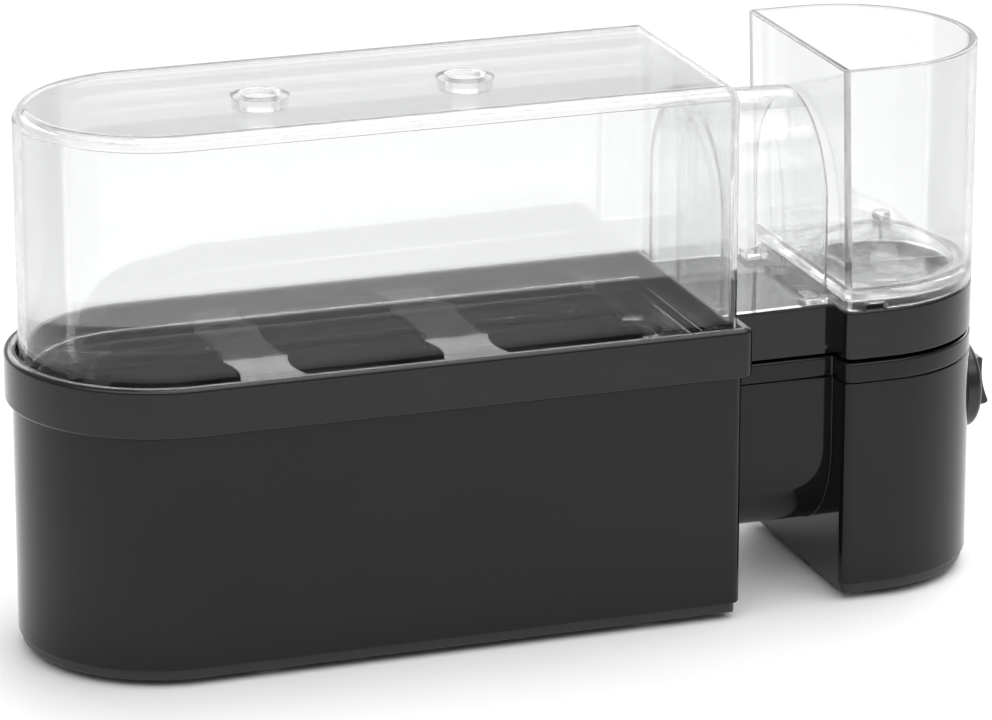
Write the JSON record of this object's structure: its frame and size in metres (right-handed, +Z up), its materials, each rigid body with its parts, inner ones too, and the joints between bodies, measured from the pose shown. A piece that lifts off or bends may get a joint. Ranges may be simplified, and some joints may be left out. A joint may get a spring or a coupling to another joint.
{
  "type": "egg cooker",
  "caption": "Countertop egg steamer: long black base with heating dish, lift-out tray with lobed seats, clear hood with grip arch, switch tower and clear measuring cup with needle.",
  "frame": {"origin": "centre of the bounding box in plan, at the level the feet stand on", "axes": "+X along the length towards the switch tower, +Z up, -Y towards the front"},
  "size_m": [0.2324, 0.068, 0.1252],
  "materials": {
    "gloss_black": "high gloss",
    "tray_black": "high gloss",
    "satin_black": "satin",
    "switch_black": "satin",
    "foot_rubber": "matt",
    "screw_steel": "zinc plated",
    "needle_steel": "polished",
    "element_steel": "oxidised",
    "control_metal": "satin",
    "fuse_body": "satin",
    "dish_coating": "non-stick coating",
    "seal_silicone": "matt",
    "contact_brass": "plain",
    "block_white": "satin",
    "wire_red": "insulation",
    "wire_blue": "insulation",
    "clear_plastic": "clear, polished"
  },
  "bodies": {
    "base": {"lower_housing": "gloss_black", "base_cover": "satin_black", "tower_base_cover": "satin_black", "top_deck": "gloss_black", "rubber_feet": "foot_rubber", "base_screws": "screw_steel", "tower_screws": "screw_steel", "heating_dish": "dish_coating", "dish_seal": "seal_silicone", "dish_nuts": "screw_steel", "heating_element": "element_steel", "element_pins": "screw_steel", "thermostat": "control_metal", "thermal_fuse": "fuse_body", "fuse_clip": "screw_steel", "earth_tag": "contact_brass", "terminal_block": "block_white", "buzzer": "satin_black", "cord_gland": "foot_rubber", "heater_wires": "wire_red", "switch_wires": "wire_blue", "switch_bezel": "switch_black", "switch_body": "switch_black", "switch_blades": "contact_brass", "rocker_pin": "screw_steel"},
    "tray": {"egg_tray": "tray_black"},
    "hood_body": {"hood": "clear_plastic"},
    "cup": {"measuring_cup": "clear_plastic", "piercing_needle": "needle_steel"},
    "rocker": {"switch_rocker": "switch_black"}
  },
  "joints": [
    {"name": "tray_lift", "type": "slide", "parent": "base", "child": "tray", "axis": [0, 0, 1], "range_m": [0, 0.09]},
    {"name": "hood_lift", "type": "slide", "parent": "tray", "child": "hood_body", "axis": [0, 0, 1], "range_m": [0, 0.075]},
    {"name": "cup_lift", "type": "slide", "parent": "tray", "child": "cup", "axis": [0, 0, 1], "range_m": [0, 0.07]},
    {"name": "rocker_tilt", "type": "hinge", "parent": "base", "child": "rocker", "pos_m": [0.10719, 0, 0.0398], "axis": [0, 1, 0], "range_deg": [0, 18]}
  ]
}
